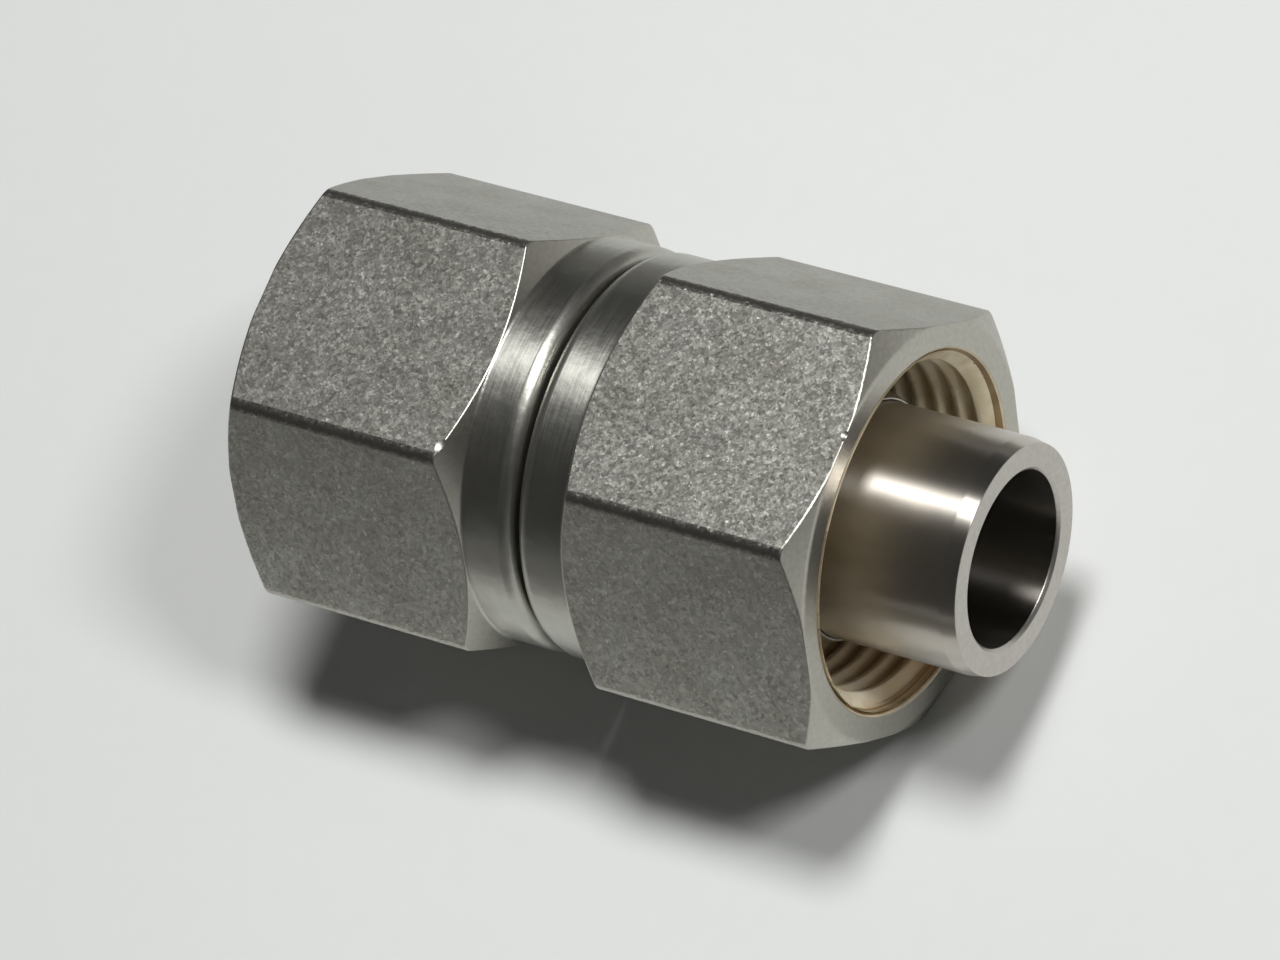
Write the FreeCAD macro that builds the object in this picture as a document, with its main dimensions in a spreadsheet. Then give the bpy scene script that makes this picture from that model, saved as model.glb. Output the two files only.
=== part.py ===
"""Half-inch tube port connector: a turned connector, two hexagon nuts and a pair of ferrules.

The tube axis runs along X with the plain tube end towards +X. The nuts stand on a flat each at Z = 0,
and the origin lies under the middle of the length.
"""
import FreeCAD, Part
import Sketcher
import os

# Driving sizes in millimetres and degrees
SIZES = [
    # Hexagon nuts, both alike
    ("across_flats", 22.225, "nut hexagon, flat to flat, 7/8 inch"),
    ("corner_radius", 0.5, "rounding of the bar's long corners"),
    ("hex_length", 12.6, "length of the long corners between the two chamfers"),
    ("chamfer_angle", 30.0, "chamfers, from the plane of the faces"),
    ("mouth_step", 0.95, "axial depth of the chamfer at the mouth"),
    ("neck_radius", 11.05, "turned neck behind the hexagon"),
    ("neck_length", 3.95, "from the long corners' end to the rear face"),
    ("rim_radius", 0.9, "rounded rim of the neck"),
    # Inside of the nuts
    ("entry_radius", 9.9, "thread entry chamfer at the mouth"),
    ("thread_radius", 8.86, "minor radius of the 3/4-20 thread"),
    ("bore_depth", 10.2, "from the mouth to the 45 degree seat"),
    ("nut_clearance", 0.1, "nut on the tube, radial"),
    ("hole_break", 0.3, "edge break of the tube hole at the rear face"),
    ("neck_gap", 0.3, "between the two necks"),
    # Turned connector
    ("tube_radius", 6.35, "half-inch tube"),
    ("wall", 1.6, "tube wall, which leaves the bore from end to end"),
    ("bore_break", 0.18, "edge break of the bore, radial and axial"),
    ("tube_reach", 5.96, "tube end beyond the right nut's mouth"),
    ("lead_length", 0.86, "taper at the tube end"),
    ("lead_drop", 0.15, "end face below the tube's outside, at the foot of the taper"),
    ("connector_length", 39.1, "connector from end to end"),
    ("collar_height", 1.2, "machined ferrule above the tube"),
    ("collar_length", 3.2, "cylindrical part of the machined ferrule"),
    ("cone_angle", 20.0, "sealing cones, from the axis"),
    ("pilot_drop", 0.05, "pilot below the tube's outside"),
    ("pilot_step", 0.2, "foot of the sealing cone above the pilot"),
    ("pilot_break", 0.3, "edge break of the pilot"),
    # Ferrules on the tube end, their heights above the tube's outside
    ("ferrule_clearance", 0.05, "ferrules on the tube, radial"),
    ("ferrule_height", 1.2, "both ferrules' outside"),
    ("seat_gap", 0.1, "axial play between a seat and what bears on it"),
    ("heel_height", 0.3, "back ferrule's flat heel"),
    ("flange_length", 1.85, "back ferrule's outside"),
    ("tongue_root", 0.75, "root of the back ferrule's tongue"),
    ("tongue_tip", 0.25, "tip of the tongue"),
    ("tongue_length", 1.2, "tongue that enters the front ferrule"),
    ("socket_clearance", 0.08, "front ferrule's socket round the tongue"),
    ("front_length", 6.6, "front ferrule"),
    ("nose_height", 0.15, "front ferrule's nose"),
]

doc = FreeCAD.newDocument("tube_port_connector")
sheet = doc.addObject("Spreadsheet::Sheet", "sizes")
for row, (alias, value, meaning) in enumerate(SIZES, start=1):
    sheet.set(f"A{row}", meaning)
    sheet.set(f"B{row}", str(value))
    sheet.setAlias(f"B{row}", alias)
doc.recompute()

# Sizes that follow from the driving ones, as expressions on the sheet
CORNER = "(sizes.across_flats / sqrt(3))"
CHAMFER = "tan(sizes.chamfer_angle)"
NUT_LENGTH = "(sizes.mouth_step + sizes.hex_length + sizes.neck_length)"
OVERALL = f"(sizes.tube_reach + 2 * {NUT_LENGTH} + sizes.neck_gap)"
MOUTH_RADIUS = f"({CORNER} - sizes.mouth_step / {CHAMFER})"
HOLE_RADIUS = "(sizes.tube_radius + sizes.nut_clearance)"
AXIS_HEIGHT = "(sizes.across_flats / 2)"
FLOW_RADIUS = "(sizes.tube_radius - sizes.wall)"
COLLAR_RADIUS = "(sizes.tube_radius + sizes.collar_height)"
FERRULE_RADIUS = "(sizes.tube_radius + sizes.ferrule_height)"
# Depth below a nut's mouth at which a ring of each radius meets the 45 degree seat
COLLAR_SEAT = f"(sizes.bore_depth + sizes.thread_radius - {COLLAR_RADIUS} - sizes.seat_gap)"
FERRULE_SEAT = f"(sizes.bore_depth + sizes.thread_radius - {FERRULE_RADIUS} - sizes.seat_gap)"


def value_of(expression):
    """Number that an expression on the sheet gives."""
    result = sheet.evalExpression(expression)
    return float(getattr(result, "Value", result))


def origin_plane(body, role):
    """One of the body's own origin planes."""
    return next(plane for plane in body.Origin.OriginFeatures if plane.Role == role)


def new_sketch(body, name, plane_role):
    """Empty sketch on an origin plane of its own body."""
    sketch = body.newObject("Sketcher::SketchObject", name)
    sketch.AttachmentSupport = [(origin_plane(body, plane_role), "")]
    sketch.MapMode = "FlatFace"
    return sketch


# In a constraint, -1 and -2 are the sketch's own axes, and 1, 2 and 3 a start, an end and a centre
def hold_on(sketch, line, axis, expression):
    """Set one coordinate of a line's start from an expression, or hold it on the axis if that is 0."""
    if expression == "0":
        along = -2 if axis == "X" else -1
        sketch.addConstraint(Sketcher.Constraint("PointOnObject", line, 1, along))
        return
    distance = value_of(expression)
    index = sketch.addConstraint(
        Sketcher.Constraint(f"Distance{axis}", -1, 1, line, 1, distance)
    )
    sketch.setExpression(f"Constraints[{index}]", expression)


def half_section(body, name, corners):
    """Closed outline in the XZ plane, each corner given as (station, radius) expressions."""
    sketch = new_sketch(body, name, "XZ_Plane")
    points = [FreeCAD.Vector(value_of(x), value_of(r), 0) for x, r in corners]
    for index, point in enumerate(points):
        following = points[(index + 1) % len(points)]
        sketch.addGeometry(Part.LineSegment(point, following), False)
    for line in range(len(points)):
        following = (line + 1) % len(points)
        sketch.addConstraint(Sketcher.Constraint("Coincident", line, 2, following, 1))
    for line, (x, r) in enumerate(corners):
        hold_on(sketch, line, "X", x)
        hold_on(sketch, line, "Y", r)
    return sketch


def turned(body, name, corners, kind):
    """Revolve or groove a half section once round the tube axis."""
    sketch = half_section(body, f"{name}_section", corners)
    feature = body.newObject(f"PartDesign::{kind}", name)
    feature.Profile = sketch
    feature.ReferenceAxis = (sketch, ["H_Axis"])
    feature.Angle = 360
    doc.recompute()
    return feature


def hexagon(body, name):
    """Regular hexagon in the YZ plane with a flat at the top and at the bottom."""
    sketch = new_sketch(body, name, "YZ_Plane")
    radius = value_of(CORNER)
    corners = [
        FreeCAD.Rotation(FreeCAD.Vector(0, 0, 1), 60 * k).multVec(FreeCAD.Vector(radius, 0, 0))
        for k in range(6)
    ]
    for k in range(6):
        sketch.addGeometry(Part.LineSegment(corners[k], corners[(k + 1) % 6]), False)
    ring = sketch.addGeometry(Part.Circle(FreeCAD.Vector(), FreeCAD.Vector(0, 0, 1), radius), True)
    sketch.addConstraint(Sketcher.Constraint("Coincident", ring, 3, -1, 1))
    for k in range(6):
        sketch.addConstraint(Sketcher.Constraint("Coincident", k, 2, (k + 1) % 6, 1))
        sketch.addConstraint(Sketcher.Constraint("PointOnObject", k, 1, ring))
    for k in range(1, 6):
        sketch.addConstraint(Sketcher.Constraint("Equal", 0, k))
    top, bottom = 1, 4
    sketch.addConstraint(Sketcher.Constraint("Horizontal", top))
    across = sketch.addConstraint(
        Sketcher.Constraint("DistanceY", bottom, 1, top, 1, value_of("sizes.across_flats"))
    )
    sketch.setExpression(f"Constraints[{across}]", "sizes.across_flats")
    return sketch


def rounded(body, name, base, edges, size):
    """Fillet on edges of the feature before it."""
    feature = body.newObject("PartDesign::Fillet", name)
    feature.Base = (base, edges)
    feature.setExpression("Radius", size)
    doc.recompute()
    return feature


def long_edges(shape, length):
    """Names of the straight edges along X that are as long as the bar."""
    names = []
    for index, edge in enumerate(shape.Edges, start=1):
        box = edge.BoundBox
        if abs(box.XLength - length) < 1e-6 and box.YLength < 1e-6 and box.ZLength < 1e-6:
            names.append(f"Edge{index}")
    return names


def ring_edges(shape, station, radius):
    """Names of the whole circles about the tube axis at a station and radius."""
    names = []
    for index, edge in enumerate(shape.Edges, start=1):
        if not isinstance(edge.Curve, Part.Circle):
            continue
        centre = edge.Curve.Center
        if abs(centre.x - station) < 1e-6 and abs(edge.Curve.Radius - radius) < 1e-6:
            names.append(f"Edge{index}")
    return names


def place(body, station, turned_round=False):
    """Stand a body on the tube axis, at a station along X, turned end for end or not."""
    angle = 180 if turned_round else 0
    body.Placement = FreeCAD.Placement(
        FreeCAD.Vector(value_of(station), 0, value_of(AXIS_HEIGHT)),
        FreeCAD.Rotation(FreeCAD.Vector(0, 0, 1), angle),
    )
    body.setExpression("Placement.Base.x", station)
    body.setExpression("Placement.Base.z", AXIS_HEIGHT)


def new_body(name):
    body = doc.addObject("PartDesign::Body", name)
    body.Label = name
    return body


def hexagon_nut(name, station, turned_round):
    """Nut from hexagon bar, mouth at its own origin and body towards -X.

    The bar is cut to length, its corners are rounded, the neck and chamfers are turned and the inside bored.
    """
    body = new_body(name)
    bar = body.newObject("PartDesign::Pad", f"{name}_bar")
    bar.Profile = hexagon(body, f"{name}_hexagon")
    bar.setExpression("Length", NUT_LENGTH)
    bar.Reversed = True
    doc.recompute()
    corners = long_edges(bar.Shape, value_of(NUT_LENGTH))
    rounded(body, f"{name}_corners", bar, corners, "sizes.corner_radius")

    # Both cuts run on past the bar's corners, so that they leave nothing there
    clear = f"({CORNER} + sizes.mouth_step)"
    turned(
        body,
        f"{name}_mouth_chamfer",
        [
            ("0", MOUTH_RADIUS),
            ("0", clear),
            (f"-({clear} - {MOUTH_RADIUS}) * {CHAMFER}", clear),
        ],
        "Groove",
    )
    neck_start = "(sizes.mouth_step + sizes.hex_length)"
    neck = turned(
        body,
        f"{name}_neck",
        [
            (f"-({neck_start} - sizes.mouth_step * {CHAMFER})", clear),
            (f"-({neck_start} + ({CORNER} - sizes.neck_radius) * {CHAMFER})", "sizes.neck_radius"),
            (f"-{NUT_LENGTH}", "sizes.neck_radius"),
            (f"-{NUT_LENGTH}", clear),
        ],
        "Groove",
    )
    rim = ring_edges(neck.Shape, -value_of(NUT_LENGTH), value_of("sizes.neck_radius"))
    rounded(body, f"{name}_rim", neck, rim, "sizes.rim_radius")

    seat_end = f"(sizes.bore_depth + sizes.thread_radius - {HOLE_RADIUS})"
    turned(
        body,
        f"{name}_bore",
        [
            ("0", "0"),
            ("0", "sizes.entry_radius"),
            ("-(sizes.entry_radius - sizes.thread_radius)", "sizes.thread_radius"),
            ("-sizes.bore_depth", "sizes.thread_radius"),
            (f"-{seat_end}", HOLE_RADIUS),
            (f"-({NUT_LENGTH} - sizes.hole_break)", HOLE_RADIUS),
            (f"-{NUT_LENGTH}", f"{HOLE_RADIUS} + sizes.hole_break"),
            (f"-{NUT_LENGTH}", "0"),
        ],
        "Groove",
    )
    place(body, station, turned_round)
    return body


def turned_connector(name, station):
    """Connector turned from bar: plain tube end at its own origin, machined ferrule at the other.

    Its ferrule's rear cone bears on the seat inside the left nut.
    """
    body = new_body(name)
    collar = f"({OVERALL} - {COLLAR_SEAT})"
    cone_start = f"({collar} + sizes.collar_length)"
    pilot = "(sizes.tube_radius - sizes.pilot_drop)"
    cone_length = f"(({COLLAR_RADIUS} - {pilot} - sizes.pilot_step) / tan(sizes.cone_angle))"
    turned(
        body,
        f"{name}_turning",
        [
            ("0", f"{FLOW_RADIUS} + sizes.bore_break"),
            ("0", "sizes.tube_radius - sizes.lead_drop"),
            ("-sizes.lead_length", "sizes.tube_radius"),
            (f"-({collar} - sizes.collar_height)", "sizes.tube_radius"),
            (f"-{collar}", COLLAR_RADIUS),
            (f"-{cone_start}", COLLAR_RADIUS),
            (f"-({cone_start} + {cone_length})", f"{pilot} + sizes.pilot_step"),
            (f"-({cone_start} + {cone_length})", pilot),
            ("-(sizes.connector_length - sizes.pilot_break)", pilot),
            ("-sizes.connector_length", f"{pilot} - sizes.pilot_break"),
            ("-sizes.connector_length", f"{FLOW_RADIUS} + sizes.bore_break"),
            ("-(sizes.connector_length - sizes.bore_break)", FLOW_RADIUS),
            ("-sizes.bore_break", FLOW_RADIUS),
        ],
        "Revolution",
    )
    place(body, station)
    return body


FERRULE_BORE = "(sizes.tube_radius + sizes.ferrule_clearance)"
TONGUE_SLOPE = "((sizes.tongue_root - sizes.tongue_tip) / sizes.tongue_length)"


def back_ferrule(name, station):
    """Back ferrule, its own origin where the rear cone begins, tongue towards +X."""
    body = new_body(name)
    heel = "-(sizes.ferrule_height - sizes.heel_height)"
    tongue_end = "(sizes.flange_length + sizes.tongue_length)"
    turned(
        body,
        f"{name}_turning",
        [
            ("0", FERRULE_RADIUS),
            ("sizes.flange_length", FERRULE_RADIUS),
            ("sizes.flange_length", "sizes.tube_radius + sizes.tongue_root"),
            (tongue_end, "sizes.tube_radius + sizes.tongue_tip"),
            (tongue_end, FERRULE_BORE),
            (heel, FERRULE_BORE),
            (heel, "sizes.tube_radius + sizes.heel_height"),
        ],
        "Revolution",
    )
    place(body, station)
    return body


def front_ferrule(name, station):
    """Front ferrule, its own origin at the rear face, sealing cone towards +X."""
    body = new_body(name)
    cone_length = "((sizes.ferrule_height - sizes.nose_height) / tan(sizes.cone_angle))"
    socket = "(sizes.tongue_root + sizes.socket_clearance)"
    turned(
        body,
        f"{name}_turning",
        [
            ("0", f"sizes.tube_radius + {socket}"),
            ("0", FERRULE_RADIUS),
            (f"sizes.front_length - {cone_length}", FERRULE_RADIUS),
            ("sizes.front_length", "sizes.tube_radius + sizes.nose_height"),
            ("sizes.front_length", FERRULE_BORE),
            (f"({socket} - sizes.ferrule_clearance) / {TONGUE_SLOPE}", FERRULE_BORE),
        ],
        "Revolution",
    )
    place(body, station)
    return body


RIGHT_MOUTH = f"({OVERALL} / 2 - sizes.tube_reach)"
BACK_FERRULE = f"({RIGHT_MOUTH} - {FERRULE_SEAT})"
FRONT_FERRULE = f"({BACK_FERRULE} + sizes.flange_length + sizes.seat_gap)"

pieces = [
    turned_connector("connector", f"{OVERALL} / 2"),
    hexagon_nut("left_nut", f"-{OVERALL} / 2", True),
    hexagon_nut("right_nut", RIGHT_MOUTH, False),
    back_ferrule("back_ferrule", BACK_FERRULE),
    front_ferrule("front_ferrule", FRONT_FERRULE),
]
doc.recompute()

for item in doc.Objects:
    if "Invalid" in item.State or "Error" in item.State:
        raise RuntimeError(f"{item.Name} failed: {item.State}")
for body in pieces:
    if body.Shape.isNull() or not body.Shape.isValid() or len(body.Shape.Solids) != 1:
        raise RuntimeError(f"{body.Label} is not one valid solid")

os.makedirs("parts", exist_ok=True)
for body in pieces:
    body.Shape.exportStep(f"parts/{body.Label}.step")
    box = body.Shape.BoundBox
    print(
        f"{body.Label}: volume {body.Shape.Volume:.1f} mm3, "
        f"X {box.XMin:.2f} to {box.XMax:.2f}, Y {box.YMin:.2f} to {box.YMax:.2f}, "
        f"Z {box.ZMin:.2f} to {box.ZMax:.2f}"
    )
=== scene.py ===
"""Half-inch tube port connector on white paper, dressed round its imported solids."""

import math

import bpy
import numpy as np
from mathutils import Matrix, Vector


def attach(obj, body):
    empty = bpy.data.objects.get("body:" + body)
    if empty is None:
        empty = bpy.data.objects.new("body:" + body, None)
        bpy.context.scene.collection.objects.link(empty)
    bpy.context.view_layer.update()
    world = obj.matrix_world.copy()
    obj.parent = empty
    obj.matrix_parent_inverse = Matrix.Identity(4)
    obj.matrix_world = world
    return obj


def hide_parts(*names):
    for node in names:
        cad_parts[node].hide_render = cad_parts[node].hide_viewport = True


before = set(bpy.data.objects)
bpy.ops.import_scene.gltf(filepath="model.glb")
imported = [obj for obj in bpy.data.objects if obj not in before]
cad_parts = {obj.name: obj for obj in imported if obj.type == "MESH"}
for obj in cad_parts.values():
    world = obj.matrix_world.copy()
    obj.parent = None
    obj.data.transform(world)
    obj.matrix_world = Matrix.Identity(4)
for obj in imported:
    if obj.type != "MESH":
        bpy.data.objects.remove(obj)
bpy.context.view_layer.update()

# Hexagon nuts
# Two equal nuts, sawn from drawn stainless hexagon bar. The ends, the neck and the inside are turned,
# the thread is cut and silver-plated, and the finished nut is tumbled, which leaves its flats grainy.

MM = 0.001
INCH = 25.4

# Bar of 7/8 inch across its flats; angles run from a flat's middle
HALF_FLATS = 7 / 8 * INCH / 2
HALF_SIDE = math.pi / 6
CORNER_REACH = HALF_FLATS / math.cos(HALF_SIDE)
CORNER_ROUNDING = 0.75
CORNER_CENTRE = (HALF_FLATS - CORNER_ROUNDING) / math.cos(HALF_SIDE)
FLAT_END = math.atan((HALF_FLATS - CORNER_ROUNDING) * math.tan(HALF_SIDE) / HALF_FLATS)

# Turned outside, from the mouth to the rear face
CHAMFER_SLOPE = math.tan(math.radians(30))
MOUTH_STEP = 0.95
LEAST_CHAMFER = 0.03
HEX_LENGTH = 12.6
NECK_LENGTH = 3.95
NECK_RADIUS = 11.05
RIM_ROUNDING = 0.75
MOUTH_RADIUS = CORNER_REACH - MOUTH_STEP / CHAMFER_SLOPE
VERTEX_END = MOUTH_STEP + HEX_LENGTH
NECK_START = VERTEX_END + (CORNER_REACH - NECK_RADIUS) * CHAMFER_SLOPE
NUT_LENGTH = VERTEX_END + NECK_LENGTH

# Inside, bored for half-inch tube and a 3/4-20 thread
TUBE_RADIUS = INCH / 4
NUT_CLEARANCE = 0.1
HOLE_RADIUS = TUBE_RADIUS + NUT_CLEARANCE
HOLE_BREAK = 0.3
ENTRY_RADIUS = 9.9
MAJOR_RADIUS = 3 / 8 * INCH
MINOR_RADIUS = 8.86
ENTRY_DEPTH = ENTRY_RADIUS - MAJOR_RADIUS
BORE_DEPTH = 10.2
PLATING_START = 0.1
BROWN_BAND_WIDTH = 0.12

# Stations along the tube's axis, whose zero is the middle of the whole length
NECK_GAP = 0.3
TUBE_REACH = 5.96
TUBE_END = (TUBE_REACH + 2 * NUT_LENGTH + NECK_GAP) / 2
LEFT_MOUTH = -TUBE_END
RIGHT_MOUTH = TUBE_END - TUBE_REACH
AXIS_HEIGHT = HALF_FLATS

# Nicks on two corners, each from something round that struck there: (x, y, z, radius) in mm
NICKS = [(-6.66, -5.64, 23.20, 1.1), (14.67, 0.59, 22.63, 0.5)]


def linear(code):
    """Linear RGBA from an sRGB hex code."""
    parts = [int(code[k:k + 2], 16) / 255 for k in (1, 3, 5)]
    return [c / 12.92 if c <= 0.04045 else ((c + 0.055) / 1.055) ** 2.4 for c in parts] + [1.0]


def per_mm(size):
    """Texture scale at which one feature is so many millimetres."""
    return 1000 / size


def add(tree, kind, inputs=None, **settings):
    """Node with its settings; an input is a value, or another node's output to link."""
    node = tree.nodes.new(kind)
    for key, value in settings.items():
        setattr(node, key, value)
    for key, value in (inputs or {}).items():
        if isinstance(value, bpy.types.NodeSocket):
            tree.links.new(value, node.inputs[key])
        else:
            node.inputs[key].default_value = value
    return node


def new_material(name, finish):
    """Metal with its shader and its place on the object; the finish is the shader's plain values."""
    material = bpy.data.materials.new(name)
    material.use_nodes = True
    tree = material.node_tree
    tree.nodes.clear()
    shader = add(tree, "ShaderNodeBsdfPrincipled", {"Metallic": 1.0, **finish})
    add(tree, "ShaderNodeOutputMaterial", {"Surface": shader.outputs[0]})
    place = add(tree, "ShaderNodeTexCoord").outputs["Object"]
    return material, tree, shader, place


def tint(tree, shader, pattern, limits, low, high):
    """Base colour that drifts from one tone to another as a pattern goes between two limits."""
    ramp = {"Value": pattern, "From Min": limits[0], "From Max": limits[1]}
    share = add(tree, "ShaderNodeMapRange", ramp)
    both = {"Factor": share.outputs[0], "A": linear(low), "B": linear(high)}
    tone = add(tree, "ShaderNodeMix", both, data_type="RGBA")
    tree.links.new(tone.outputs["Result"], shader.inputs["Base Color"])
    return tone.outputs["Result"]


def facet_normal(tree, place, layers):
    """Surface normal tilted at random over small cells; a layer is (cell in mm, tilt)."""
    total = add(tree, "ShaderNodeNewGeometry").outputs["Normal"]
    for cell, tilt in layers:
        cells = add(tree, "ShaderNodeTexVoronoi", {"Vector": place, "Scale": per_mm(cell)})
        from_grey = {0: cells.outputs["Color"], 1: (0.5, 0.5, 0.5)}
        centred = add(tree, "ShaderNodeVectorMath", from_grey, operation="SUBTRACT")
        length = add(tree, "ShaderNodeVectorMath", {0: centred.outputs[0]}, operation="LENGTH")
        twice = {0: length.outputs["Value"], 1: 2 * tilt}
        weight = add(tree, "ShaderNodeMath", twice, operation="MULTIPLY")
        lean = {0: centred.outputs[0], "Scale": weight.outputs[0]}
        scaled = add(tree, "ShaderNodeVectorMath", lean, operation="SCALE")
        summed = add(tree, "ShaderNodeVectorMath", {0: total, 1: scaled.outputs[0]}, operation="ADD")
        total = summed.outputs[0]
    return add(tree, "ShaderNodeVectorMath", {0: total}, operation="NORMALIZE").outputs[0]


def dented(tree, place, normal, balls):
    """Normal turned into small round dents; a ball is (x, y, z, radius) of what struck, in mm."""
    for x, y, z, radius in balls:
        centre = (x * MM, y * MM, z * MM)
        reach = add(tree, "ShaderNodeVectorMath", {0: place, 1: centre}, operation="DISTANCE")
        within = {0: reach.outputs["Value"], 1: radius * MM}
        struck = add(tree, "ShaderNodeMath", within, operation="LESS_THAN")
        inward = add(tree, "ShaderNodeVectorMath", {0: centre, 1: place}, operation="SUBTRACT")
        bowl = add(tree, "ShaderNodeVectorMath", {0: inward.outputs[0]}, operation="NORMALIZE")
        both = {"Factor": struck.outputs[0], "A": normal, "B": bowl.outputs[0]}
        normal = add(tree, "ShaderNodeMix", both, data_type="VECTOR").outputs[1]
    return normal


def tumbled_stainless():
    """Stainless bar after tumbling: grey with a warm cast, its skin full of tiny dents that sparkle.

    The finest dents are too small to show, so they are drawn coarser, 0.12 mm and 0.26 mm wide.
    """
    material, tree, shader, place = new_material("tumbled_stainless", {"Roughness": 0.43})
    cloud = add(tree, "ShaderNodeTexNoise", {"Vector": place, "Scale": per_mm(3.0), "Detail": 4.0})
    tint(tree, shader, cloud.outputs["Fac"], (0.3, 0.7), "#adaba2", "#bcbbb3")
    grain = facet_normal(tree, place, [(0.26, 0.08), (0.12, 0.105)])
    tree.links.new(dented(tree, place, grain, NICKS), shader.inputs["Normal"])
    return material


def burnished_corner_stainless():
    """Long corners of the hexagon, rubbed smooth as the nuts tumbled against each other."""
    material, tree, shader, place = new_material("burnished_corner_stainless", {"Roughness": 0.32})
    cloud = add(tree, "ShaderNodeTexNoise", {"Vector": place, "Scale": per_mm(0.8), "Detail": 3.0})
    tint(tree, shader, cloud.outputs["Fac"], (0.3, 0.7), "#a5a299", "#b0aea6")
    grain = facet_normal(tree, place, [(0.2, 0.12), (0.1, 0.12)])
    tree.links.new(dented(tree, place, grain, NICKS), shader.inputs["Normal"])
    return material


def turned_face_stainless():
    """Faced and chamfered ends, turned and then tumbled: light satin grey."""
    material, tree, shader, place = new_material("turned_face_stainless", {"Roughness": 0.36})
    grain = add(tree, "ShaderNodeTexNoise", {"Vector": place, "Scale": per_mm(0.3), "Detail": 3.0})
    tint(tree, shader, grain.outputs["Fac"], (0.3, 0.7), "#adaaa1", "#b8b5ac")
    pits = {"Height": grain.outputs["Fac"], "Strength": 0.3, "Distance": 0.03 * MM}
    bump = add(tree, "ShaderNodeBump", pits)
    tree.links.new(dented(tree, place, bump.outputs["Normal"], NICKS), shader.inputs["Normal"])
    return material


TURNING_MARK = 0.1


def grooved_round(tree, shader, place, wander, gloss):
    """Turning marks: fine grooves round the axis draw reflections out along it.

    Real marks are too fine to show, so they are drawn TURNING_MARK wide. Their drift along the way
    round is wander, and gloss is the two roughnesses between which they go.
    """
    stretched = add(tree, "ShaderNodeMapping", {"Vector": place, "Scale": (1.0, wander, wander)})
    fine = {"Vector": stretched.outputs[0], "Scale": per_mm(TURNING_MARK), "Detail": 2.0}
    marks = add(tree, "ShaderNodeTexNoise", fine)
    limits = {"From Min": 0.35, "From Max": 0.65, "To Min": gloss[0], "To Max": gloss[1]}
    polish = add(tree, "ShaderNodeMapRange", {"Value": marks.outputs["Fac"], **limits})
    tree.links.new(polish.outputs[0], shader.inputs["Roughness"])
    around = add(tree, "ShaderNodeTangent", direction_type="RADIAL", axis="X")
    tree.links.new(around.outputs[0], shader.inputs["Tangent"])


def turned_stainless(name, gloss, spread):
    """Turned neck or rim, a little uneven from handling."""
    finish = {"Anisotropic": spread, "Anisotropic Rotation": 0.25}
    material, tree, shader, place = new_material(name, finish)
    grooved_round(tree, shader, place, 0.04, gloss)
    waves = add(tree, "ShaderNodeTexNoise", {"Vector": place, "Scale": per_mm(1.0), "Detail": 3.0})
    tint(tree, shader, waves.outputs["Fac"], (0.3, 0.7), "#b6b5ad", "#bcbbb3")
    swell = {"Height": waves.outputs["Fac"], "Strength": 0.3, "Distance": 0.08 * MM}
    bump = add(tree, "ShaderNodeBump", swell)
    tree.links.new(bump.outputs["Normal"], shader.inputs["Normal"])
    return material


def silver_plating(name, low, high):
    """Silver plating, dull and gone cream to brown, browner still towards the bottom."""
    material, tree, shader, place = new_material(name, {"Metallic": 0.25, "Roughness": 0.5})
    stain = add(tree, "ShaderNodeTexNoise", {"Vector": place, "Scale": per_mm(2.5), "Detail": 4.0})
    tone = tint(tree, shader, stain.outputs["Fac"], (0.35, 0.6), low, high)
    # The plating turns browner towards the bottom, below 8 mm above the floor
    height = add(tree, "ShaderNodeSeparateXYZ", {0: place}).outputs["Z"]
    bottom_range = {"Value": height, "From Min": 2 * MM, "From Max": 8 * MM, "To Min": 0.75, "To Max": 0.0}
    bottom_share = add(tree, "ShaderNodeMapRange", bottom_range)
    both = {"Factor": bottom_share.outputs[0], "A": tone, "B": linear("#b6905e")}
    bottom_browned = add(tree, "ShaderNodeMix", both, data_type="RGBA")
    tree.links.new(bottom_browned.outputs["Result"], shader.inputs["Base Color"])
    return material


nut_materials = [
    tumbled_stainless(),
    burnished_corner_stainless(),
    turned_face_stainless(),
    turned_stainless("turned_neck_stainless", (0.34, 0.41), 0.755),
    turned_stainless("turned_rim_stainless", (0.33, 0.37), 0.35),
    silver_plating("silver_plated_thread", "#d3c4a2", "#efe5ce"),
    # Darker brown plating for the entry chamfer
    silver_plating("brown_entry_plating", "#7d6544", "#a58d63"),
]
FLAT_SKIN, CORNER_SKIN, FACE_SKIN, NECK_SKIN, RIM_SKIN, PLATED_SKIN, BROWN_ENTRY_SKIN = range(7)


def rounded_outline(corners):
    """Points along a closed (station, radius) outline, and the skin of the stretch after each point.

    A corner is (station, radius, setback, steps, skin); the setback never passes 45 % of a side.
    """
    points, skins = [], []
    count = len(corners)
    for k, (x, r, setback, steps, skin) in enumerate(corners):
        here = np.array([x, r])
        before = np.array(corners[k - 1][:2]) - here
        after = np.array(corners[(k + 1) % count][:2]) - here
        reach_in = min(setback, 0.45 * np.linalg.norm(before))
        reach_out = min(setback, 0.45 * np.linalg.norm(after))
        start = here + before / np.linalg.norm(before) * reach_in
        end = here + after / np.linalg.norm(after) * reach_out
        turn = before @ after / np.linalg.norm(before) / np.linalg.norm(after)
        weight = math.cos(math.acos(max(-1.0, min(1.0, -turn))) / 2)
        for step in range(steps + 1):
            t = step / steps
            shares = np.array([(1 - t) ** 2, 2 * t * (1 - t) * weight, t * t])
            points.append((shares[0] * start + shares[1] * here + shares[2] * end) / shares.sum())
            skins.append(skin)
    return np.array(points), skins


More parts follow.
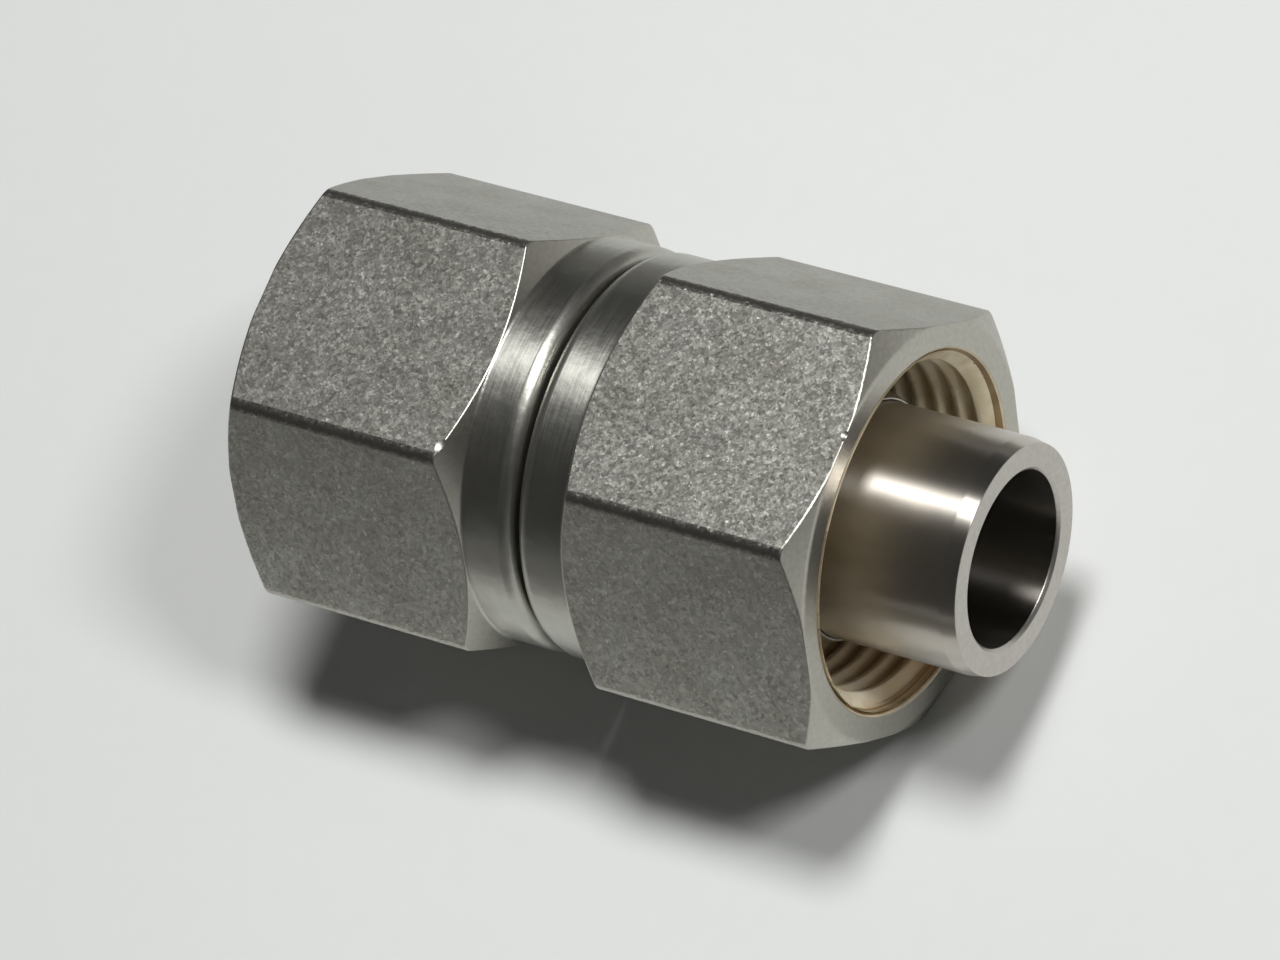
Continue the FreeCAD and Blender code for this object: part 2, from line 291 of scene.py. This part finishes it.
def woven_mesh(name, columns, skins, materials):
    """Closed mesh from columns of points that join up round the axis and round the outline."""
    turns, rows = columns.shape[:2]
    points = columns.reshape(-1, 3)
    i, k = np.meshgrid(np.arange(turns), np.arange(rows), indexing="ij")
    j, m = (i + 1) % turns, (k + 1) % rows
    quads = np.stack([i * rows + k, j * rows + k, j * rows + m, i * rows + m], -1).reshape(-1, 4)
    a, b, c, d = (points[quads[:, n]] for n in range(4))
    normals = np.cross(c - a, d - b)
    if (normals * (a + c)).sum() < 0 or np.einsum("ij,ij->", np.cross(b - a, c - a), a) < 0:
        quads = quads[:, ::-1]
        normals = -normals
    mesh = bpy.data.meshes.new(name)
    mesh.from_pydata((points * MM).tolist(), [], quads.tolist())
    # Normals weighted by area, so that the wide faces stay flat beside their rounded edges
    at_points = np.zeros_like(points)
    for n in range(4):
        np.add.at(at_points, quads[:, n], normals)
    at_points /= np.linalg.norm(at_points, axis=1)[:, None]
    mesh.polygons.foreach_set("use_smooth", [True] * len(quads))
    for material in materials:
        mesh.materials.append(material)
    mesh.polygons.foreach_set("material_index", np.array(skins).ravel())
    mesh.normals_split_custom_set_from_vertices(at_points.tolist())
    mesh.update()
    piece = bpy.data.objects.new(name, mesh)
    bpy.context.scene.collection.objects.link(piece)
    return piece


def hexagon_radius(angle):
    """Distance from the axis to the bar's skin at an angle, its long corners rounded."""
    off = (angle + HALF_SIDE) % (2 * HALF_SIDE) - HALF_SIDE
    if abs(off) <= FLAT_END:
        return HALF_FLATS / math.cos(off)
    to_corner = HALF_SIDE - abs(off)
    aside = CORNER_CENTRE * math.sin(to_corner)
    return CORNER_CENTRE * math.cos(to_corner) + math.sqrt(CORNER_ROUNDING ** 2 - aside ** 2)


def nut_outline(angle):
    """Section of the nut at an angle, its mouth at 0 and its rear at -NUT_LENGTH.

    The third value of a corner is how far turning and tumbling have softened it.
    """
    reach = hexagon_radius(angle)
    face = min(MOUTH_RADIUS, reach - LEAST_CHAMFER)
    shoulder = (CORNER_REACH - reach) * CHAMFER_SLOPE
    return rounded_outline([
        (0, ENTRY_RADIUS, 0.05, 2, FACE_SKIN),
        (0, face, 0.18, 4, FACE_SKIN),
        (-(reach - face) * CHAMFER_SLOPE, reach, 0.1, 4, FLAT_SKIN),
        (-VERTEX_END - shoulder, reach, 0.07, 4, FACE_SKIN),
        (-NECK_START, NECK_RADIUS, 0.12, 4, NECK_SKIN),
        (-NUT_LENGTH, NECK_RADIUS, RIM_ROUNDING, 10, RIM_SKIN),
        (-NUT_LENGTH, HOLE_RADIUS + HOLE_BREAK, 0.04, 2, FACE_SKIN),
        (-NUT_LENGTH + HOLE_BREAK, HOLE_RADIUS, 0.04, 2, FACE_SKIN),
        (-(BORE_DEPTH + MINOR_RADIUS - HOLE_RADIUS), HOLE_RADIUS, 0.04, 2, FACE_SKIN),
        (-BORE_DEPTH, MINOR_RADIUS, 0.04, 2, FACE_SKIN),
        (-(BORE_DEPTH - MAJOR_RADIUS + MINOR_RADIUS), MAJOR_RADIUS, 0.04, 2, PLATED_SKIN),
        # The entry chamfer and a narrow band inside it take the darker brown plating
        (-ENTRY_DEPTH - BROWN_BAND_WIDTH, MAJOR_RADIUS, 0.01, 1, BROWN_ENTRY_SKIN),
        (-ENTRY_DEPTH, MAJOR_RADIUS, 0.04, 2, BROWN_ENTRY_SKIN),
        (-PLATING_START, ENTRY_RADIUS - PLATING_START, 0.03, 1, PLATED_SKIN),
    ])


def round_the_axis(outlines, angles):
    """Columns of points from (station, radius) outlines at angles from the top."""
    return np.array([
        np.stack([line[:, 0], -line[:, 1] * math.sin(angle), line[:, 1] * math.cos(angle)], -1)
        for line, angle in zip(outlines, angles)
    ])


FLAT_COLUMNS = 25
CORNER_COLUMNS = 9


def nut_body(name):
    """Nut without its thread ridge."""
    flat_steps = np.linspace(-FLAT_END, FLAT_END, FLAT_COLUMNS)
    corner_steps = np.linspace(FLAT_END, 2 * HALF_SIDE - FLAT_END, CORNER_COLUMNS + 2)[1:-1]
    sixth = np.concatenate([flat_steps, corner_steps])
    angles = np.concatenate([sixth + k * 2 * HALF_SIDE for k in range(6)])
    made = [nut_outline(angle) for angle in angles]
    skins = np.array([m[1] for m in made])
    on_corner = np.arange(len(angles)) % len(sixth) >= len(flat_steps) - 1
    skins[on_corner] = np.where(skins[on_corner] == FLAT_SKIN, CORNER_SKIN, skins[on_corner])
    return woven_mesh(name, round_the_axis([m[0] for m in made], angles), skins, nut_materials)


# Thread ridge: it starts before the mouth, where the entry chamfer cuts it off, its feet lie sunk in
# the wall, and its last steps fade out
PITCH = INCH / 20
CREST_WIDTH = 0.27
CREST_ROUNDING = 0.04
CREST_DROP = 0.03
BASE_WIDTH = 1.08
FOOT_SINK = 0.08
FOOT_RADIUS = MAJOR_RADIUS + FOOT_SINK
RUN_OUT = 0.9
RIDGE_START = -0.3
RIDGE_LENGTH = BORE_DEPTH - RUN_OUT
START_ANGLE = -2.168
MOUTH_MARGIN = 0.02
STEPS_PER_TURN = 144
FADE_STEPS = 30


def thread_ridge(name):
    """Right-hand ridge of the 3/4-20 thread, cut back by the entry chamfer, faded out at its end."""
    steps = int(RIDGE_LENGTH / PITCH * STEPS_PER_TURN)
    crest_edge = CREST_WIDTH / 2 + CREST_ROUNDING / 2
    crest_flat = CREST_WIDTH / 2 - CREST_ROUNDING
    section = [
        (-BASE_WIDTH / 2, MAJOR_RADIUS),
        (-crest_edge, MINOR_RADIUS + CREST_DROP),
        (-crest_flat, MINOR_RADIUS),
        (crest_flat, MINOR_RADIUS),
        (crest_edge, MINOR_RADIUS + CREST_DROP),
        (BASE_WIDTH / 2, MAJOR_RADIUS),
        (BASE_WIDTH / 2, FOOT_RADIUS),
        (-BASE_WIDTH / 2, FOOT_RADIUS),
    ]
    points = []
    for step in range(steps + 1):
        angle = START_ANGLE - 2 * math.pi * step / STEPS_PER_TURN
        depth = RIDGE_START + PITCH * step / STEPS_PER_TURN
        fade = min(1.0, (steps - step) / FADE_STEPS)
        for along, radius in section:
            station = max(depth + along, MOUTH_MARGIN)
            cone = ENTRY_RADIUS - station
            faded = FOOT_RADIUS + (radius - FOOT_RADIUS) * fade
            reach = min(max(faded, cone), FOOT_RADIUS)
            points.append((-station, -reach * math.sin(angle), reach * math.cos(angle)))
    points = np.array(points)
    size = len(section)
    quads = [
        (s * size + k, s * size + (k + 1) % size, (s + 1) * size + (k + 1) % size, (s + 1) * size + k)
        for s in range(steps)
        for k in range(size)
    ]
    ends = [tuple(range(size))[::-1], tuple(range(steps * size, (steps + 1) * size))]
    mesh = bpy.data.meshes.new(name)
    mesh.from_pydata((points * MM).tolist(), [], quads + ends)
    mesh.polygons.foreach_set("use_smooth", [True] * len(mesh.polygons))
    mesh.materials.append(nut_materials[PLATED_SKIN])
    mesh.update()
    ridge = bpy.data.objects.new(name, mesh)
    bpy.context.scene.collection.objects.link(ridge)
    return ridge


def set_on_axis(piece, station, turned_round):
    """Move a mesh from its own origin to its station on the tube's axis, turned end for end or not."""
    turn = Matrix.Rotation(math.pi, 4, "Z") if turned_round else Matrix.Identity(4)
    piece.data.transform(Matrix.Translation((station * MM, 0, AXIS_HEIGHT * MM)) @ turn)


for side, mouth, turned_round in (("left", LEFT_MOUTH, True), ("right", RIGHT_MOUTH, False)):
    nut = nut_body(f"{side}_nut_dressed")
    ridge = thread_ridge(f"{side}_nut_thread")
    for piece in (nut, ridge):
        set_on_axis(piece, mouth, turned_round)
        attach(piece, f"{side}_nut")
    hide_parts(f"{side}_nut")

# Connector
# One bar of stainless steel, turned and bored: the plain tube end, and at the far end, inside the left
# nut, a machined ferrule with a short pilot. The outside is finished with a fine feed and polished.

CONNECTOR_LENGTH = 39.1
WALL = 1.6
FLOW_RADIUS = TUBE_RADIUS - WALL
BORE_BREAK = 0.18
LEAD_LENGTH = 0.86
LEAD_DROP = 0.15

# Machined ferrule, as high as the loose ones, on the seat of the left nut
RING_HEIGHT = 1.2
RING_RADIUS = TUBE_RADIUS + RING_HEIGHT
SEAT_GAP = 0.1
SEAT_DEPTH = BORE_DEPTH + MINOR_RADIUS - RING_RADIUS - SEAT_GAP
COLLAR_LENGTH = 3.2
COLLAR_START = LEFT_MOUTH + SEAT_DEPTH
COLLAR_END = COLLAR_START - COLLAR_LENGTH

# Sealing cone and pilot past it
CONE_SLOPE = math.tan(math.radians(20))
PILOT_DROP = 0.05
PILOT_STEP = 0.2
PILOT_BREAK = 0.3
PILOT_RADIUS = TUBE_RADIUS - PILOT_DROP
CONE_FOOT = PILOT_RADIUS + PILOT_STEP
CONE_END = COLLAR_END - (RING_RADIUS - CONE_FOOT) / CONE_SLOPE
PILOT_END = TUBE_END - CONNECTOR_LENGTH


def polished_tube_stainless(name, gloss):
    """Fine feed marks round the tube: the lamp's reflection is drawn out along it in a broad streak."""
    finish = {"Anisotropic": 0.91, "Anisotropic Rotation": 0.25}
    material, tree, shader, place = new_material(name, finish)
    grooved_round(tree, shader, place, 0.0, gloss)
    cloud = add(tree, "ShaderNodeTexNoise", {"Vector": place, "Scale": per_mm(2.0), "Detail": 3.0})
    tint(tree, shader, cloud.outputs["Fac"], (0.3, 0.7), "#bcb6ad", "#c2bcb3")
    return material


def satin_end_stainless():
    """Faced end of the tube: light satin grey."""
    material, tree, shader, place = new_material("satin_end_stainless", {"Roughness": 0.33})
    grain = add(tree, "ShaderNodeTexNoise", {"Vector": place, "Scale": per_mm(0.25), "Detail": 2.0})
    tint(tree, shader, grain.outputs["Fac"], (0.3, 0.7), "#b4b0a9", "#bfbbb4")
    return material


turned_materials = [
    polished_tube_stainless("polished_tube_stainless", (0.29, 0.31)),
    polished_tube_stainless("bored_stainless", (0.2, 0.22)),
    satin_end_stainless(),
]
BARREL_SKIN, BORE_SKIN, END_SKIN = range(3)


def lathe_piece(name, corners, steps=224):
    """Piece turned from a closed outline of corners."""
    line, skins = rounded_outline(corners)
    angles = [2 * math.pi * k / steps for k in range(steps)]
    piece = woven_mesh(name, round_the_axis([line] * steps, angles), [skins] * steps, turned_materials)
    set_on_axis(piece, 0, False)
    return piece


connector = lathe_piece("connector_dressed", [
    (TUBE_END, FLOW_RADIUS + BORE_BREAK, 0.03, 2, END_SKIN),
    (TUBE_END, TUBE_RADIUS - LEAD_DROP, 0.05, 3, BARREL_SKIN),
    (TUBE_END - LEAD_LENGTH, TUBE_RADIUS, 0.05, 2, BARREL_SKIN),
    (COLLAR_START + RING_HEIGHT, TUBE_RADIUS, 0.05, 2, BARREL_SKIN),
    (COLLAR_START, RING_RADIUS, 0.05, 2, BARREL_SKIN),
    (COLLAR_END, RING_RADIUS, 0.05, 2, BARREL_SKIN),
    (CONE_END, CONE_FOOT, 0.02, 2, BARREL_SKIN),
    (CONE_END, PILOT_RADIUS, 0.02, 2, BARREL_SKIN),
    (PILOT_END + PILOT_BREAK, PILOT_RADIUS, 0.03, 2, BARREL_SKIN),
    (PILOT_END, PILOT_RADIUS - PILOT_BREAK, 0.03, 2, END_SKIN),
    (PILOT_END, FLOW_RADIUS + BORE_BREAK, 0.03, 2, END_SKIN),
    (PILOT_END + BORE_BREAK, FLOW_RADIUS, 0.03, 2, BORE_SKIN),
    (TUBE_END - BORE_BREAK, FLOW_RADIUS, 0.03, 2, END_SKIN),
])
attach(connector, "connector")
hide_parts("connector")

# Ferrules
# Two small stainless rings, turned and loose on the tube inside the right nut: the long front ferrule
# with its sealing cone, and the short back ferrule whose tongue sits in the front one.

FERRULE_CLEARANCE = 0.05
FERRULE_BORE = TUBE_RADIUS + FERRULE_CLEARANCE

# Back ferrule, its rear cone on the seat of the right nut; heights are above the tube
HEEL_HEIGHT = 0.3
TONGUE_ROOT = 0.75
TONGUE_TIP = 0.25
TONGUE_LENGTH = 1.2
FLANGE_LENGTH = 1.85
FLANGE_START = RIGHT_MOUTH - SEAT_DEPTH
FLANGE_END = FLANGE_START + FLANGE_LENGTH
HEEL_END = FLANGE_START - (RING_HEIGHT - HEEL_HEIGHT)

# Front ferrule, with a socket for the tongue
FRONT_LENGTH = 6.6
NOSE_HEIGHT = 0.15
SOCKET_CLEARANCE = 0.08
SOCKET_HEIGHT = TONGUE_ROOT + SOCKET_CLEARANCE
SOCKET_LENGTH = (SOCKET_HEIGHT - FERRULE_CLEARANCE) * TONGUE_LENGTH / (TONGUE_ROOT - TONGUE_TIP)
NOSE_RADIUS = TUBE_RADIUS + NOSE_HEIGHT
FRONT_START = FLANGE_END + SEAT_GAP
FRONT_END = FRONT_START + FRONT_LENGTH
NOSE_CONE_START = FRONT_END - (RING_RADIUS - NOSE_RADIUS) / CONE_SLOPE

front = lathe_piece("front_ferrule_dressed", [
    (FRONT_START, TUBE_RADIUS + SOCKET_HEIGHT, 0.02, 2, END_SKIN),
    (FRONT_START, RING_RADIUS, 0.03, 2, END_SKIN),
    (NOSE_CONE_START, RING_RADIUS, 0.05, 2, END_SKIN),
    (FRONT_END, NOSE_RADIUS, 0.02, 2, END_SKIN),
    (FRONT_END, FERRULE_BORE, 0.02, 2, END_SKIN),
    (FRONT_START + SOCKET_LENGTH, FERRULE_BORE, 0.03, 2, END_SKIN),
])
back = lathe_piece("back_ferrule_dressed", [
    (FLANGE_START, RING_RADIUS, 0.03, 2, END_SKIN),
    (FLANGE_END, RING_RADIUS, 0.03, 2, END_SKIN),
    (FLANGE_END, TUBE_RADIUS + TONGUE_ROOT, 0.02, 2, END_SKIN),
    (FLANGE_END + TONGUE_LENGTH, TUBE_RADIUS + TONGUE_TIP, 0.02, 2, END_SKIN),
    (FLANGE_END + TONGUE_LENGTH, FERRULE_BORE, 0.02, 2, END_SKIN),
    (HEEL_END, FERRULE_BORE, 0.02, 2, END_SKIN),
    (HEEL_END, TUBE_RADIUS + HEEL_HEIGHT, 0.02, 2, END_SKIN),
])
for piece, node in ((front, "front_ferrule"), (back, "back_ferrule")):
    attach(piece, "ferrule_set")
    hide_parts(node)

# Paper, light and camera
# The part lies on white paper in a dim room with paler walls low down. Two soft ceiling lamps light
# it, one high behind it and a weaker one lower to the right.

PAPER_MIDDLE = (73.5 * MM, 2.5 * MM, 0)
PAPER_HALF_LENGTH = 148.5 * MM
PAPER_HALF_WIDTH = 49.5 * MM
FLOOR_REACH = 600 * MM
FLOOR_DROP = 0.02 * MM


def white_paper():
    """Matt paper, pale to the camera. Past the paper, in reflections only, the floor is painted dark
    grey: a painted reflection of the dim room.
    """
    material, tree, shader, place = new_material("white_paper", {"Metallic": 0.0, "Roughness": 0.9})
    fibres = add(tree, "ShaderNodeTexNoise", {"Vector": place, "Scale": per_mm(1.5), "Detail": 4.0})
    tone = tint(tree, shader, fibres.outputs["Fac"], (0.0, 1.0), "#e9ebe9", "#e7e9e7")
    offset = {0: place, 1: PAPER_MIDDLE}
    from_middle = add(tree, "ShaderNodeVectorMath", offset, operation="SUBTRACT")
    away = add(tree, "ShaderNodeVectorMath", {0: from_middle.outputs[0]}, operation="ABSOLUTE")
    apart = add(tree, "ShaderNodeSeparateXYZ", {0: away.outputs[0]})
    lengthwise = {0: apart.outputs["X"], 1: PAPER_HALF_LENGTH}
    past_end = add(tree, "ShaderNodeMath", lengthwise, operation="GREATER_THAN")
    sideways = {0: apart.outputs["Y"], 1: PAPER_HALF_WIDTH}
    past_side = add(tree, "ShaderNodeMath", sideways, operation="GREATER_THAN")
    either = {0: past_end.outputs[0], 1: past_side.outputs[0]}
    painted_dark_past_paper = add(tree, "ShaderNodeMath", either, operation="MAXIMUM")
    mirrored = add(tree, "ShaderNodeLightPath").outputs["Is Glossy Ray"]
    share = add(tree, "ShaderNodeMath", {0: painted_dark_past_paper.outputs[0], 1: mirrored}, operation="MULTIPLY")
    # Painted reflection: past the paper, glossy rays see dark grey instead of pale paper
    both = {"Factor": share.outputs[0], "A": tone, "B": linear("#706e6b")}
    seen = add(tree, "ShaderNodeMix", both, data_type="RGBA")
    tree.links.new(seen.outputs["Result"], shader.inputs["Base Color"])
    return material


floor_corners = [
    (x * FLOOR_REACH, y * FLOOR_REACH, -FLOOR_DROP)
    for x, y in ((-1, -1), (1, -1), (1, 1), (-1, 1))
]
floor_mesh = bpy.data.meshes.new("paper_floor")
floor_mesh.from_pydata(floor_corners, [], [(0, 1, 2, 3)])
floor_mesh.materials.append(white_paper())
paper_floor = bpy.data.objects.new("paper_floor", floor_mesh)
bpy.context.scene.collection.objects.link(paper_floor)

LAMP_DISTANCE = 0.7


def ceiling_lamp(name, towards, size, watts):
    """Round soft lamp in a direction from the part, facing it."""
    data = bpy.data.lights.new(name, "AREA")
    data.shape = "DISK"
    data.size = size
    data.energy = watts
    lamp = bpy.data.objects.new(name, data)
    direction = Vector(towards).normalized()
    lamp.location = direction * LAMP_DISTANCE + Vector((0, 0, AXIS_HEIGHT * MM))
    lamp.rotation_euler = (-direction).to_track_quat("-Z", "Y").to_euler()
    bpy.context.scene.collection.objects.link(lamp)


ceiling_lamp("lamp_behind", (0.12, 0.29, 0.95), 0.19, 3.22)
ceiling_lamp("lamp_right", (0.58, 0.19, 0.79), 0.15, 1.62)

# The walls show up to four degrees above the floor, to the camera and in the metal
WALL_TOP = 0.07

world = bpy.data.worlds.new("dim_room")
world.use_nodes = True
room_tree = world.node_tree
outward = add(room_tree, "ShaderNodeTexCoord").outputs["Generated"]
rise = add(room_tree, "ShaderNodeSeparateXYZ", {0: outward}).outputs["Z"]
low_down = add(room_tree, "ShaderNodeMath", {0: rise, 1: WALL_TOP}, operation="LESS_THAN")
path = add(room_tree, "ShaderNodeLightPath")
seen = path.outputs["Is Camera Ray"]
for kind in ("Is Glossy Ray", "Is Transmission Ray"):
    either = {0: seen, 1: path.outputs[kind]}
    seen = add(room_tree, "ShaderNodeMath", either, operation="MAXIMUM").outputs[0]
wall = add(room_tree, "ShaderNodeMath", {0: seen, 1: low_down.outputs[0]}, operation="MULTIPLY")
tones = {"Factor": wall.outputs[0], "A": linear("#3f3f3f"), "B": linear("#959695")}
room = add(room_tree, "ShaderNodeMix", tones, data_type="RGBA")
room_tree.links.new(room.outputs["Result"], room_tree.nodes["Background"].inputs["Color"])
bpy.context.scene.world = world

# Camera fitted to the photograph's perspective
camera_data = bpy.data.cameras.new("camera")
camera_data.lens = 208.962
camera_data.sensor_width = 36
camera_data.sensor_fit = "HORIZONTAL"
camera_data.clip_start = 0.01
camera = bpy.data.objects.new("camera", camera_data)
camera.rotation_mode = "QUATERNION"
camera.rotation_quaternion = (0.9464886, 0.1708437, 0.2200031, 0.1630045)
camera.location = (0.1834324, -0.0997394, 0.3419439)
bpy.context.scene.collection.objects.link(camera)
bpy.context.scene.camera = camera
bpy.context.scene.view_settings.view_transform = "Standard"
